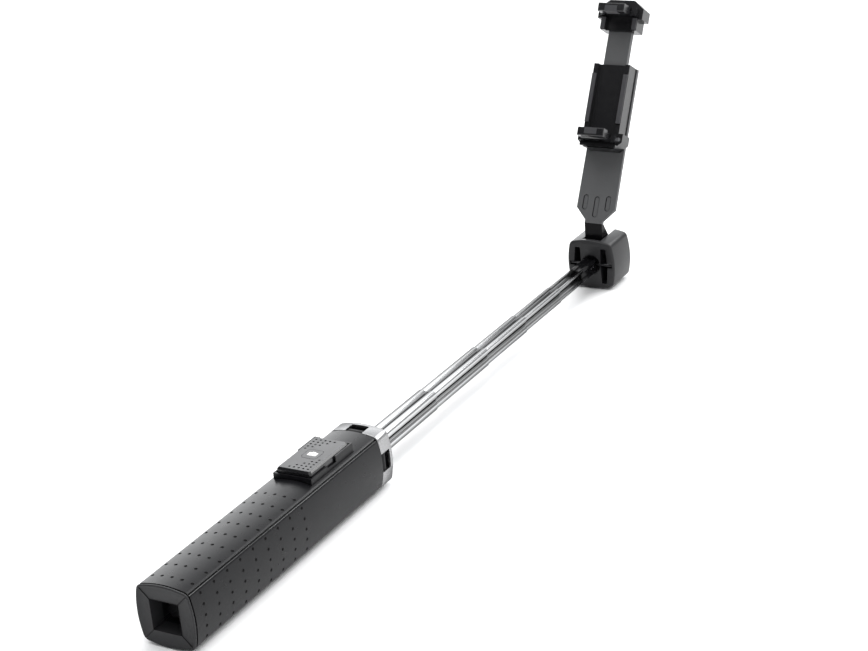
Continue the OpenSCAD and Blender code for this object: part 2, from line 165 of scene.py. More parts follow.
# ---------------------------------------------------------------- flat shapes
def fillet(corners):
    """Points of a closed polygon whose corners, given as (x, y, radius), are rounded."""
    points = []
    for i, (x, y, radius) in enumerate(corners):
        corner = Vector((x, y))
        if radius == 0:
            points.append(corner)
            continue
        before = (Vector(corners[i - 1][:2]) - corner).normalized()
        after = (Vector(corners[(i + 1) % len(corners)][:2]) - corner).normalized()
        half = before.angle(after) / 2
        centre = corner + (before + after).normalized() * (radius / math.sin(half))
        start = corner + before * (radius / math.tan(half)) - centre
        end = corner + after * (radius / math.tan(half)) - centre
        sweep = math.atan2(start.x * end.y - start.y * end.x, start.dot(end))
        for k in range(FILLET_STEPS + 1):
            points.append(centre + Matrix.Rotation(sweep * k / FILLET_STEPS, 2) @ start)
    return points


def arc(centre, radius, start, end, steps):
    """Points on part of a circle, with its ends given as angles in radians."""
    angles = [start + (end - start) * k / steps for k in range(steps + 1)]
    return [Vector((centre[0] + radius * math.cos(a), centre[1] + radius * math.sin(a))) for a in angles]


def circle(centre, radius, steps):
    """Points of a full circle."""
    return arc(centre, radius, 0, 2 * math.pi * (1 - 1 / steps), steps - 1)


def turned(points, quarter):
    """The points turned by quarters of a full turn."""
    turn = Matrix.Rotation(quarter * math.pi / 2, 2)
    return [turn @ p for p in points]


def outline(inset=0.0):
    """The rounded square with bulging sides that handle, collar and head share."""
    lean = math.asin(EDGE_CENTRE / (SIDE_RADIUS - EDGE_RADIUS))
    start = math.pi / 2 - lean
    end = math.pi / 2 + lean
    side = arc((0, HALF_WIDTH - SIDE_RADIUS), SIDE_RADIUS - inset, start, end, SIDE_STEPS)
    edge = arc((-EDGE_CENTRE, EDGE_CENTRE), EDGE_RADIUS - inset, end, math.pi - lean, EDGE_STEPS)
    points = []
    for quarter in range(4):
        points += turned(side + edge[1:-1], quarter)
    return points


def clip(points, origin, normal):
    """The part of a closed polygon on the side of a line that its normal points away from."""
    kept = []
    for i, p in enumerate(points):
        q = points[(i + 1) % len(points)]
        a = (p - origin).dot(normal)
        b = (q - origin).dot(normal)
        if a <= 0:
            kept.append(p)
        if a * b < 0:
            kept.append(p.lerp(q, a / (a - b)))
    return kept


def leg_part(inset, margin, floor):
    """The top leg's quarter of the outline, above floor, as a polygon."""
    start = LEG_GAP + margin * math.sqrt(2)
    points = clip(outline(inset), Vector((0, start)), Vector((1, -1)))
    points = clip(points, Vector((0, start)), Vector((-1, -1)))
    return clip(points, Vector((0, floor)), Vector((0, -1)))


def fluted_square(number, inset=0.0):
    """Section of a tube: four round lobes with a groove along each side.

    Each number's section lies the same distance inside the one before, so its grooves are wider.
    """
    shrink = (number - 1) * TUBE_STEP + inset
    half = TUBE_HALF - shrink
    shoulder = GROOVE_HALF + shrink * math.tan(GROOVE_SLOPE / 2)
    foot = shoulder - GROOVE_DEPTH / math.tan(GROOVE_SLOPE)
    floor = half - GROOVE_DEPTH
    bulge = max(LEAST_RADIUS, SHOULDER_RADIUS - shrink)
    hollow = max(LEAST_RADIUS, HOLLOW_RADIUS - bulge / 2)
    side = [(half, half), (shoulder, half), (foot, floor), (-foot, floor), (-shoulder, half)]
    radii = [LOBE_RADIUS - shrink, bulge, hollow, hollow, bulge]
    corners = []
    for quarter in range(4):
        places = turned([Vector(p) for p in side], quarter)
        corners += [(*place, radius) for place, radius in zip(places, radii)]
    return fillet(corners)


def rounded_box(half_x, half_y, corner, centre=(0, 0)):
    """A rectangle with round corners."""
    x, y = centre
    return fillet(
        [
            (x + half_x, y - half_y, corner),
            (x + half_x, y + half_y, corner),
            (x - half_x, y + half_y, corner),
            (x - half_x, y - half_y, corner),
        ]
    )


# ---------------------------------------------------------------- solid shapes
def make_object(name, builder):
    """Turns a bmesh into an object of the scene."""
    bmesh.ops.recalc_face_normals(builder, faces=builder.faces)
    mesh = bpy.data.meshes.new(name)
    builder.to_mesh(mesh)
    builder.free()
    obj = bpy.data.objects.new(name, mesh)
    bpy.context.scene.collection.objects.link(obj)
    return obj


def loft(name, rings, loop=False):
    """Skins rings of points with quads; the ends are capped unless the rings loop round."""
    builder = bmesh.new()
    rows = [[builder.verts.new(Vector(p) * MM) for p in ring] for ring in rings]
    pairs = list(zip(rows, rows[1:]))
    if loop:
        pairs.append((rows[-1], rows[0]))
    for low, high in pairs:
        for i in range(len(low)):
            j = (i + 1) % len(low)
            builder.faces.new((low[i], low[j], high[j], high[i]))
    if not loop:
        builder.faces.new(rows[0])
        builder.faces.new(rows[-1])
    return make_object(name, builder)


def ring_y(points, y):
    """A flat shape, seen from the handle's end, placed across the stick at y."""
    return [(p[0], y, p[1]) for p in points]


def extrude_y(name, points, low, high):
    """A section given as (x, z) points, drawn out along Y."""
    return loft(name, [ring_y(points, low), ring_y(points, high)])


def extrude_x(name, points, low, high):
    """A side view given as (y, z) points, drawn out along X."""
    return loft(name, [[(x, p[0], p[1]) for p in points] for x in (low, high)])


def extrude_z(name, points, low, high):
    """A plan given as (x, y) points, drawn out along Z."""
    return loft(name, [[(p[0], p[1], z) for p in points] for z in (low, high)])


def block(name, low, high):
    """A box between two opposite corners."""
    x, y, z = zip(low, high)
    return extrude_z(name, [(x[0], y[0]), (x[1], y[0]), (x[1], y[1]), (x[0], y[1])], *z)


def rod_x(name, radius, half, y, z, chamfer=0.0, steps=32):
    """A round rod along X with chamfered ends, centred at (y, z)."""
    stations = [(-half, radius), (half, radius)]
    if chamfer > 0:
        small = radius - chamfer
        stations = [(-half, small), (chamfer - half, radius), (half - chamfer, radius), (half, small)]
    return lathe_x(name, stations, (y, z), steps)


def lathe_x(name, stations, centre, steps):
    """A turned solid along X, given as (x, radius) stations."""
    return loft(name, [[(x, p.x, p.y) for p in circle(centre, r, steps)] for x, r in stations])


def round_z(name, radius, low, high, centre, steps=32):
    return extrude_z(name, circle(centre, radius, steps), low, high)


def bake(obj):
    """Applies the object's modifiers to its mesh."""
    depsgraph = bpy.context.evaluated_depsgraph_get()
    mesh = bpy.data.meshes.new_from_object(obj.evaluated_get(depsgraph))
    obj.modifiers.clear()
    obj.data = mesh
    return obj


def join(objects):
    """Merges objects into the first one."""
    builder = bmesh.new()
    for obj in objects:
        builder.from_mesh(obj.data)
    builder.to_mesh(objects[0].data)
    builder.free()
    for obj in objects[1:]:
        bpy.data.objects.remove(obj)
    return objects[0]


def boolean(obj, cutters, operation="DIFFERENCE", material_mode="INDEX"):
    """Cuts each of the other solids from the object, or adds it to it."""
    for cutter in cutters:
        step = obj.modifiers.new("boolean", "BOOLEAN")
        step.operation = operation
        step.solver = "EXACT"
        step.material_mode = material_mode
        step.object = cutter
    bake(obj)
    for cutter in cutters:
        bpy.data.objects.remove(cutter)
    return obj


def soften(obj, width, segments, angle):
    """Rounds the object's sharp edges and shades it smooth between those that stay."""
    dissolve = obj.modifiers.new("merge", "DECIMATE")
    dissolve.decimate_type = "DISSOLVE"
    dissolve.angle_limit = math.radians(0.05)
    bevel = obj.modifiers.new("bevel", "BEVEL")
    bevel.width = width * MM
    bevel.segments = segments
    bevel.limit_method = "ANGLE"
    bevel.angle_limit = math.radians(angle)
    bevel.miter_outer = "MITER_ARC"
    bevel.use_clamp_overlap = True
    bake(obj)
    return smooth(obj)


def smooth(obj, angle=38):
    """Shades the object smooth, but for edges sharper than the angle in degrees."""
    for face in obj.data.polygons:
        face.use_smooth = True
    obj.data.set_sharp_from_angle(angle=math.radians(angle))
    return obj


def weigh_normals(obj):
    """Lets the largest face at each corner set its shading, so flat faces look flat."""
    weigh = obj.modifiers.new("weigh", "WEIGHTED_NORMAL")
    weigh.keep_sharp = True
    weigh.weight = 80
    return bake(obj)


def outline_normal(x, z):
    """Direction straight out of the top leg's skin at a point of its outline."""
    centre = Vector((0, 0, HALF_WIDTH - SIDE_RADIUS))
    if abs(x) > SIDE_RADIUS * EDGE_CENTRE / (SIDE_RADIUS - EDGE_RADIUS):
        centre = Vector((math.copysign(EDGE_CENTRE, x), 0, EDGE_CENTRE))
    return (Vector((x, 0, z)) - centre).normalized()


def shade_as_outline(obj):
    """Gives the top leg's skin the outline's exact normals, so dimples leave no streaks.

    Only faces with the first material that lie along the outline are changed.
    """
    along = 0.97
    mesh = obj.data
    normals = [Vector(corner.vector) for corner in mesh.corner_normals]
    for face in mesh.polygons:
        for index in face.loop_indices:
            place = mesh.vertices[mesh.loops[index].vertex_index].co / MM
            exact = outline_normal(place.x, place.z)
            if face.material_index == 0 and face.normal.dot(exact) > along:
                normals[index] = exact
    mesh.normals_split_custom_set(normals)


def turn_side(obj, side):
    """Turns a piece made for the top leg to side 0 top, 1 right, 2 bottom or 3 left."""
    obj.data.transform(Matrix.Rotation(side * math.pi / 2, 4, "Y"))
    return obj


def arm_local(y, z):
    """Where a point (y, z) of the stick lies in the arm's own axes."""
    point = ARM_PLACE.inverted() @ Vector((0, y * MM, z * MM)) / MM
    return (point.y, point.z)


# ---------------------------------------------------------------- materials
# the range in which most of a noise texture's values lie
NOISE_RANGE = (0.3, 0.7)
# how much of its light a metal still reflects at its very outline: painted shade on the outline's
# reflection
OUTLINE_TINT = 0.45


def new_material(name, color, roughness, metallic=0.0, specular=0.5):
    """A plain material for the other nodes to build on."""
    material = bpy.data.materials.new(name)
    material.use_nodes = True
    shader = material.node_tree.nodes["Principled BSDF"]
    shader.inputs["Base Color"].default_value = (*color, 1)
    shader.inputs["Roughness"].default_value = roughness
    shader.inputs["Metallic"].default_value = metallic
    shader.inputs["Specular IOR Level"].default_value = specular
    return material


def add_noise(material, scale, detail, stretch=(1, 1, 1)):
    """A noise texture fixed to the object, stretched along its axes."""
    tree = material.node_tree
    place = tree.nodes.new("ShaderNodeTexCoord")
    mapping = tree.nodes.new("ShaderNodeMapping")
    mapping.inputs["Scale"].default_value = stretch
    noise = tree.nodes.new("ShaderNodeTexNoise")
    noise.inputs["Scale"].default_value = scale
    noise.inputs["Detail"].default_value = detail
    tree.links.new(place.outputs["Object"], mapping.inputs["Vector"])
    tree.links.new(mapping.outputs["Vector"], noise.inputs["Vector"])
    return noise


def map_range(material, source, from_range, to_range):
    """A value carried over from one range to another."""
    tree = material.node_tree
    node = tree.nodes.new("ShaderNodeMapRange")
    node.inputs["From Min"].default_value = from_range[0]
    node.inputs["From Max"].default_value = from_range[1]
    node.inputs["To Min"].default_value = to_range[0]
    node.inputs["To Max"].default_value = to_range[1]
    tree.links.new(source, node.inputs["Value"])
    return node.outputs["Result"]


def color_ramp(material, source, stops):
    """Colours for a value, with the stops given as (position, colour)."""
    tree = material.node_tree
    ramp = tree.nodes.new("ShaderNodeValToRGB")
    elements = ramp.color_ramp.elements
    while len(elements) < len(stops):
        elements.new(0.5)
    for element, (position, color) in zip(elements, stops):
        element.position = position
        element.color = (*color, 1)
    tree.links.new(source, ramp.inputs["Fac"])
    return ramp.outputs["Color"]


def multiply(material, first, second):
    """The product of two colours."""
    tree = material.node_tree
    mix = tree.nodes.new("ShaderNodeMix")
    mix.data_type = "RGBA"
    mix.blend_type = "MULTIPLY"
    mix.inputs["Factor"].default_value = 1.0
    tree.links.new(first, mix.inputs["A"])
    tree.links.new(second, mix.inputs["B"])
    return mix.outputs["Result"]


def feed(material, socket, source):
    """Links a value or colour to the material's shader."""
    shader = material.node_tree.nodes["Principled BSDF"]
    material.node_tree.links.new(source, shader.inputs[socket])


def drift(color, spread):
    """Ramp stops that let a colour drift darker and lighter."""
    darker = [c * (1 - spread) for c in color]
    lighter = [min(1, c * (1 + spread)) for c in color]
    return list(zip(NOISE_RANGE, (darker, lighter)))


def add_bump(material, source, strength, depth):
    """Fine relief from a value, as deep as depth in millimetres."""
    tree = material.node_tree
    bump = tree.nodes.new("ShaderNodeBump")
    bump.inputs["Strength"].default_value = strength
    bump.inputs["Distance"].default_value = depth * MM
    tree.links.new(source, bump.inputs["Height"])
    feed(material, "Normal", bump.outputs["Normal"])


def crevice_shade(material):
    """White on open surfaces, falling to dark in corners and creases: painted shade for a plastic's colour.
    """
    node = material.node_tree.nodes.new("ShaderNodeAmbientOcclusion")
    node.samples = 6
    node.inputs["Distance"].default_value = 1.2 * MM
    return color_ramp(material, node.outputs["AO"], [(0.35, [0.25] * 3), (0.85, [1, 1, 1])])


def plastic(name, color, roughness, specular=0.5, grain=2600, grain_depth=0.03, spread=0.1):
    """Moulded plastic: a fine spark-eroded grain with slightly uneven colour and gloss, and painted shade
    darkening its colour in corners and creases.
    """
    material = new_material(name, color, roughness, specular=specular)
    cloud = add_noise(material, 45, 3)
    tint = color_ramp(material, cloud.outputs["Fac"], drift(color, spread))
    # painted shade: crevice_shade darkens the colour in corners and creases
    feed(material, "Base Color", multiply(material, tint, crevice_shade(material)))
    gloss = add_noise(material, 260, 4)
    levels = (roughness - 0.02, roughness + 0.03)
    feed(material, "Roughness", map_range(material, gloss.outputs["Fac"], NOISE_RANGE, levels))
    add_bump(material, add_noise(material, grain, 2).outputs["Fac"], 0.35, grain_depth)
    return material


def metal(name, color, roughness, edge, stretch=(1, 1, 1), scale=900, depth=0.006):
    """Metal with fine drawn marks, and painted shade that darkens its colour towards its outlines."""
    material = new_material(name, color, roughness, metallic=1.0)
    shader = material.node_tree.nodes["Principled BSDF"]
    shader.inputs["Specular Tint"].default_value = (OUTLINE_TINT, OUTLINE_TINT, OUTLINE_TINT, 1)
    facing = material.node_tree.nodes.new("ShaderNodeLayerWeight")
    facing.inputs["Blend"].default_value = 0.5
    # painted shade: the colour falls off as the surface turns away from the view, down to edge times the
    # colour
    shades = [(0.56, 1.0), (0.64, 0.62), (0.71, 0.32), (0.82, 0.1), (1.0, 0.0)]
    stops = [(place, [edge + (1 - edge) * shade] * 3) for place, shade in shades]
    rim = color_ramp(material, facing.outputs["Facing"], stops)
    tint = color_ramp(material, add_noise(material, 90, 3).outputs["Fac"], drift(color, 0.03))
    feed(material, "Base Color", multiply(material, tint, rim))
    marks = add_noise(material, scale, 4, stretch).outputs["Fac"]
    levels = (roughness * 0.8, roughness * 1.25)
    feed(material, "Roughness", map_range(material, marks, NOISE_RANGE, levels))
    add_bump(material, marks, 0.2, depth)
    return material


def chrome(name):
    """Bright plating on the tube, with painted shade that darkens its colour along the floors of its
    grooves.
    """
    color = (0.62, 0.622, 0.628)
    material = metal(name, color, 0.14, 0.04, stretch=(1, 0.02, 1), scale=2200, depth=0.002)
    tree = material.node_tree
    depth = tree.nodes.new("ShaderNodeAttribute")
    depth.attribute_name = "groove"
    # painted shade: the deeper a point lies in a groove, the darker the plating's colour
    stops = [(0.1, [1, 1, 1]), (0.5, [0.65] * 3), (1.0, [0.45] * 3)]
    shade = color_ramp(material, depth.outputs["Fac"], stops)
    plating = tree.nodes["Principled BSDF"].inputs["Base Color"].links[0].from_socket
    feed(material, "Base Color", multiply(material, plating, shade))
    return material


HANDLE_BLACK = plastic("handle_black", (0.007, 0.007, 0.008), 0.29, 0.18)
# painted highlight: a lighter, glossier black on the lips beside the legs' seams
LIP_HIGHLIGHT_BLACK = plastic("lip_highlight_black", (0.015, 0.015, 0.016), 0.22, 0.9)
# the inner parts' own black, and also painted shade on the walls of the head's recess and slots, the arm's
# recesses and pin hole, and the remote cover's holes
BLACK_CORE_AND_SHADE = plastic("black_core_and_shade", (0.006, 0.006, 0.007), 0.45, 0.2)
# painted shade: a near-black put in the dimples, the steps below the legs' seam lips and the remote's dots
PAINTED_SHADE_BLACK = plastic("painted_shade_black", (0.003, 0.003, 0.003), 0.5, 0.15)
HEAD_BLACK = plastic("head_black", (0.026, 0.026, 0.027), 0.3, 0.14)
CLAMP_BLACK = plastic("clamp_black", (0.008, 0.008, 0.009), 0.22, 0.45)
# painted shade on the arm's bent neck and barrel, and the own black of the neck plug
SHADED_STEM_AND_PLUG_BLACK = plastic("shaded_stem_and_plug_black", (0.004, 0.004, 0.0045), 0.2, 0.07)
ARM_GREY = plastic("arm_grey", (0.083, 0.084, 0.086), 0.45, 0.25, grain=3200, grain_depth=0.02, spread=0.05)
REMOTE_GREY = plastic("remote_grey", (0.078, 0.078, 0.08), 0.42, 0.36, grain=3000, spread=0.06)
FOOT_RUBBER = plastic(
    "foot_rubber", (0.019, 0.019, 0.0205), 0.5, 0.3, grain=1800, grain_depth=0.04, spread=0.08
)
PAD_RUBBER = plastic("pad_rubber", (0.04, 0.04, 0.043), 0.6, 0.3, grain=1500, grain_depth=0.05)
COLLAR_SILVER = metal("collar_silver", (0.37, 0.37, 0.374), 0.3, 0.4, scale=700)
CHROME = chrome("tube_chrome")
STEEL = metal("pin_steel", (0.5, 0.5, 0.52), 0.3, 0.3, stretch=(0.02, 1, 1), scale=1500)
DARK_STEEL = metal("dark_steel", (0.06, 0.06, 0.063), 0.35, 0.3, stretch=(0.02, 1, 1), scale=1500)
BOARD_GREEN = plastic("board_green", (0.02, 0.13, 0.05), 0.4)
ICON_WHITE = plastic("icon_white", (0.85, 0.85, 0.84), 0.4, 0.4, grain=1200, grain_depth=0.01, spread=0.03)
LAMP = plastic("lamp_dark", (0.003, 0.003, 0.005), 0.25, 0.1, grain=900, grain_depth=0.002)


def install(obj, body, nodes, material):
    """Gives a finished piece its material and its place in the frame."""
    if not obj.data.materials:
        obj.data.materials.append(material)
    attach(obj, body)
    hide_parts(*nodes)
    return obj


def dress(node, material):
    """Puts a material on a CAD node that stays as it is."""
    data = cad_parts[node].data
    data.materials.clear()
    data.materials.append(material)


def dress_bevelled(node, material, width):
    """Puts a material on a CAD node that stays, and rounds its sharp edges with modifiers."""
    dress(node, material)
    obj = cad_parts[node]
    merge = obj.modifiers.new("merge", "DECIMATE")
    merge.decimate_type = "DISSOLVE"
    merge.angle_limit = math.radians(0.6)
    bevel = obj.modifiers.new("bevel", "BEVEL")
    bevel.width = width * MM
    bevel.segments = 3
    bevel.limit_method = "ANGLE"
    bevel.angle_limit = math.radians(35)
    bevel.harden_normals = True
    bevel.use_clamp_overlap = True


# ---------------------------------------------------------------- handle
SIDES = ["top", "right", "bottom", "left"]


def dimples():
    """Balls that press the rows of round dimples into the top leg and paint the dimples' faces near-black
    as painted shade.
    """
    balls = []
    for row in range(DIMPLE_ROWS):
        for column in DIMPLE_COLUMNS:
            x = column * COLUMN_PITCH
            y = DIMPLE_START + row * ROW_PITCH
            skin = HALF_WIDTH - SIDE_RADIUS + math.sqrt(SIDE_RADIUS**2 - x**2)
            place = Matrix.Translation(Vector((x, y, skin + BALL_HEIGHT)) * MM)
            builder = bmesh.new()
            bmesh.ops.create_uvsphere(
                builder, u_segments=20, v_segments=14, radius=BALL_RADIUS * MM, matrix=place
            )
            balls.append(make_object("ball", builder))
    balls = join(balls)
    balls.data.materials.append(PAINTED_SHADE_BLACK)
    return balls


def leg_shell(side):
    """One leg's outer skin with the two flanges that carry its inner wall.

    Beside the foot its walls are shallower.
    """
    name = SIDES[side]
    stations = [
        (SHELL_START, SHELL_END_FLOOR),
        (FOOT_DEPTH, SHELL_END_FLOOR),
        (FOOT_DEPTH + 0.01, HALF_CHANNEL),
        (LEG_END, HALF_CHANNEL),
    ]
    shell = loft("leg_skin_" + name, [ring_y(leg_wall(floor), y) for y, floor in stations])
    # the lips take a painted highlight, the steps below them painted shade
    for material in (HANDLE_BLACK, LIP_HIGHLIGHT_BLACK, PAINTED_SHADE_BLACK):
        shell.data.materials.append(material)
    paint_seam_light(shell)
    cutters = [rod_x("relief", HINGE_RELIEF, 20, *LEG_HINGE, steps=64)]
    if side == 0:
        cutters.append(block("cradle_hole", *CRADLE_HOLE))
    boolean(shell, cutters)
    soften(shell, 0.12, segments=2, angle=40)
    # painted shade: the dimples take the balls' near-black
    boolean(shell, [dimples()], material_mode="TRANSFER")
    shade_as_outline(smooth(shell, 30))
    turn_side(shell, side)
    install(shell, "leg_" + name, ["leg_shell_" + name], HANDLE_BLACK)


def leg_wall(floor):
    """Section of a leg's skin and flanges: a channel open towards the stick's middle."""
    outer = start_at_right_floor(leg_part(0, SEAM_HALF, floor), floor)
    inner = start_at_right_floor(leg_part(SKIN, FLANGE, floor), floor)
    right, left = outer[1], outer[-2]
    rounding_room = 1.4 * LIP
    skin = [p for p in outer[2:-2] if min((p - right).length, (p - left).length) > rounding_room]
    points = seam_step(right, 1, floor) + skin + seam_step(left, -1, floor)[::-1] + inner[::-1]
    return fillet([(p.x, p.y, LIP if p in (right, left) else 0) for p in points])


def seam_step(lip, side, floor):
    """One mitred wall of a leg, from the floor up to its lip, with the step below the lip."""
    along = Vector((side, 1)).normalized()
    across = Vector((-side, 1)).normalized()
    ledge = lip - along * SEAM_DEPTH
    return [Vector((side * (floor - LEG_GAP), floor)), ledge - across * SEAM_HALF, ledge, lip]


def paint_seam_light(shell):
    """Gives the lips beside the seams the second material, a lighter glossier black as painted highlight,
    and the steps below them the third, a near-black as painted shade.
    """
    just_under_step = LIP_REACH - SEAM_DEPTH - 0.1
    for face in shell.data.polygons:
        across = (face.center.z - abs(face.center.x)) / MM / math.sqrt(2)
        reach = (face.center.z + abs(face.center.x)) / MM / math.sqrt(2)
        if across < SEAM_HALF + LIP and reach > just_under_step:
            face.material_index = 1 if reach > LIP_REACH - LIP else 2


def start_at_right_floor(points, floor):
    """The same polygon, listed from its lower right corner and ending at its lower left."""
    low = [i for i, p in enumerate(points) if abs(p.y - floor) < 1e-6]
    first = max(low, key=lambda i: points[i].x)
    return points[first:] + points[:first]


def leg_foot(side):
    """The foot at a leg's end: a mitred face with a raised rim, and a plug behind it."""
    name = SIDES[side]
    stations = [
        (0.3, 1.5),
        (0.12, 1.2),
        (0.0, 0.8),
        (0.05, 0.4),
        (0.25, 0.1),
        (0.6, 0.0),
        (0.95, 0.1),
        (1.15, 0.4),
        (1.25, 0.9),
        (1.5, SKIN),
        (FOOT_DEPTH, SKIN),
    ]
    rings = [ring_y(leg_part(inset, 0, HALF_CHANNEL), y) for y, inset in stations]
    foot = loft("foot_" + name, rings)
    turn_side(smooth(foot, 35), side)
    install(foot, "leg_" + name, ["leg_foot_" + name], FOOT_RUBBER)


for index, side_name in enumerate(SIDES):
    leg_shell(index)
    leg_foot(index)
    dress_bevelled("leg_spine_" + side_name, BLACK_CORE_AND_SHADE, 0.2)


# ---------------------------------------------------------------- collar
def collar_ring():
    """The silver ring with a window for each leg's hinge and a bore for the tube."""
    stations = [
        (COLLAR_START, 0.35),
        (COLLAR_START + 0.35, 0.0),
        (COLLAR_END - 1.0, 0.0),
        (COLLAR_END - 0.6, 0.12),
        (COLLAR_END - 0.2, 0.42),
        (COLLAR_END, 0.95),
    ]
    ring = loft("collar", [ring_y(outline(inset), y) for y, inset in stations])
    inside = extrude_y("inside", outline(COLLAR_WALL), COLLAR_START - 1, COLLAR_END - COLLAR_FACE)
    bore = extrude_y("bore", fluted_square(0), COLLAR_START - 2, COLLAR_END + 1)
    low = (-WINDOW_HALF, COLLAR_START - 2, WINDOW_FLOOR)
    high = (WINDOW_HALF, COLLAR_START + WINDOW_LENGTH, OUTSIDE)
    windows = [turn_side(block("window", low, high), side) for side in range(4)]
    boolean(ring, [inside, bore, *windows])
    soften(ring, 0.22, segments=3, angle=40)
    install(ring, "stick_base", ["collar_ring"], COLLAR_SILVER)


collar_ring()
dress_bevelled("collar_core", BLACK_CORE_AND_SHADE, 0.2)
dress("leg_hinge_pins", STEEL)


# ---------------------------------------------------------------- tube
def mark_grooves(obj, number):
    """Stores how deep each point lies in a groove, from 0 on the lobes to 1 at the floor."""
    half = TUBE_HALF - (number - 1) * TUBE_STEP
    depth = obj.data.attributes.new("groove", "FLOAT", "POINT")
    for vertex, value in zip(obj.data.vertices, depth.data):
        across, reach = sorted((abs(vertex.co.x) / MM, abs(vertex.co.z) / MM))
        if across < GROOVE_REACH:
            value.value = min(1, max(0, (half - reach) / GROOVE_DEPTH))


def tube(number, body):
    """A drawn tube with soft grooves, open at both ends, its mouth slightly rounded."""
    top = TUBE_TOPS[number]
    low = top - TUBE_LENGTHS[number]
    stations = [
        (low, TUBE_WALL / 2),
        (low + 0.1, 0.0),
        (top - 0.25, 0.0),
        (top - 0.08, 0.05),
        (top, TUBE_WALL / 2),
        (top - 0.1, TUBE_WALL),
        (low + 0.1, TUBE_WALL),
    ]
    rings = [ring_y(fluted_square(number, inset), y) for y, inset in stations]
    node = "tube_base" if number == 0 else f"tube_{number}"
    piece = smooth(loft(f"section_{number}", rings, loop=True), 50)
    mark_grooves(piece, number)
    install(piece, body, [node], CHROME)


tube(0, "stick_base")
for level in range(1, 5):
    tube(level, f"section_{level}")
tube(5, "head")


# ---------------------------------------------------------------- head
def neck():
    """The black plug that joins the thinnest tube to the head."""
    plug = extrude_y("neck", fluted_square(5), TUBE_TOPS[5], HEAD_START + FACE_WALL)
    root = rounded_box(NECK_ROOT_HALF, NECK_ROOT_HALF, 0.6)
    core = extrude_y("neck_core", root, TUBE_TOPS[5] - NECK_ROOT_LENGTH, TUBE_TOPS[5] + 1)
    boolean(plug, [core], "UNION")
    soften(plug, 0.12, segments=2, angle=60)
    install(plug, "head", ["neck_plug"], SHADED_STEM_AND_PLUG_BLACK)


def end_plug():
    """Closes the widest tube where the handle's channel ends."""
    cap = extrude_y("end_plug", fluted_square(0), BASE_START - PLUG_CAP, BASE_START)
    core = extrude_y("end_core", fluted_square(0, PLUG_INSET), BASE_START, BASE_START + PLUG_LENGTH)
    piece = soften(join([cap, core]), 0.1, segments=2, angle=60)
    install(piece, "stick_base", ["base_plug"], BLACK_CORE_AND_SHADE)


def rivets():
    """Two flat rivet heads, just proud of the groove on the neck's right side."""
    stations = [(2.8, 0.7), (3.24, 0.7), (3.31, 0.6), (3.34, 0.35)]
    piece = smooth(join([lathe_x("rivet", stations, (y, 0), 24) for y in RIVET_PLACES]), 50)
    piece.name = "neck_rivet_heads"
    install(piece, "head", ["neck_rivets"], STEEL)


def head_slot(side):
    """One tapered slot of the near face with the pocket at the end of the cross pin."""
    corners = [(7.2, 11.2), (6.7, 0), (7.2, -12.4), (10.5, -12.4), (11.9, 0), (10.6, 11.2)]
    points = fillet([(x, z, 0.6) for x, z in corners])
    points = [Vector((p.x * side, p.y)) for p in points]
    slot = extrude_y("slot", points, HEAD_START - 1, HEAD_START + SLOT_DEPTH)
    ends = sorted((side * 10.9, side * 14.8))
    pocket = block("pocket", (ends[0], HEAD_START - 1, -1.3), (ends[1], HEAD_START + 3, 1.3))
    return [slot, pocket]


def head_block():
    """The head: a channel for the arm's barrel, and a near face with slots and the tube's socket."""
    stations = [
        (HEAD_START, 0.9),
        (HEAD_START + 0.25, 0.38),
        (HEAD_START + 0.8, 0.06),
        (HEAD_START + 1.3, 0.0),
        (HEAD_END - 1.4, 0.0),
        (HEAD_END - 0.8, 0.08),
        (HEAD_END - 0.25, 0.45),
        (HEAD_END, 1.0),
    ]
    head = loft("head", [ring_y(outline(inset), y) for y, inset in stations])
    barrel_gap = 0.3
    low = (-CHANNEL_HALF, HEAD_START + FACE_WALL, ARM_HINGE[1] - BARREL_RADIUS - barrel_gap)
    channel = block("channel", low, (CHANNEL_HALF, HEAD_END + 5, OUTSIDE))
    socket = extrude_y("socket", fluted_square(5), HEAD_START - 1, HEAD_START + FACE_WALL)
    rim = circle((0, 0), FACE_RECESS_RADIUS, 48)
    recess = extrude_y("recess", rim, HEAD_START - 1, HEAD_START + FACE_RECESS_DEPTH)
    # painted shade: the face's recess and slots take the core black on their walls and floors
    painted_shade_hollows = [recess, *head_slot(1), *head_slot(-1)]
    for cutter in painted_shade_hollows:
        cutter.data.materials.append(BLACK_CORE_AND_SHADE)
    head.data.materials.append(HEAD_BLACK)
    boolean(head, [channel, socket, *painted_shade_hollows], material_mode="TRANSFER")
    soften(head, 0.35, segments=3, angle=40)
    install(head, "head", ["head_block"], HEAD_BLACK)


def head_pins():
    """The pin seen across the near face, and the one that the arm tilts on."""
    cross_pin = smooth(rod_x("cross_pin_rod", 0.9, 14.4, *CROSS_PIN, chamfer=0.2), 40)
    install(cross_pin, "head", ["cross_pin"], DARK_STEEL)
    arm_pin = smooth(rod_x("arm_pin_rod", ARM_PIN_RADIUS, 12, *ARM_HINGE, chamfer=0.25), 40)
    install(arm_pin, "head", ["arm_hinge_pin"], STEEL)


end_plug()
neck()
rivets()
head_block()
head_pins()


# ---------------------------------------------------------------- arm and clamp
def arm_recess(x, low, high):
    """Cutter for a long shallow recess in the arm's front, its sloping walls painted near-black as painted
    shade.
    """
    rings = []
    for depth, radius in [(-0.5, 1.95), (0.0, 1.75), (0.5, 1.3)]:
        points = arc((x, high), radius, 0, math.pi, 12) + arc((x, low), radius, math.pi, 2 * math.pi, 12)
        rings.append([(p.x, PLATE_FRONT + depth, p.y) for p in points])
    cutter = loft("recess", rings)
    # painted shade: the sloping walls take the core black, the floor stays grey
    cutter.data.materials.append(BLACK_CORE_AND_SHADE)
    cutter.data.materials.append(ARM_GREY)
    floor = max(cutter.data.polygons, key=lambda face: face.center.y)
    floor.material_index = 1
    return cutter


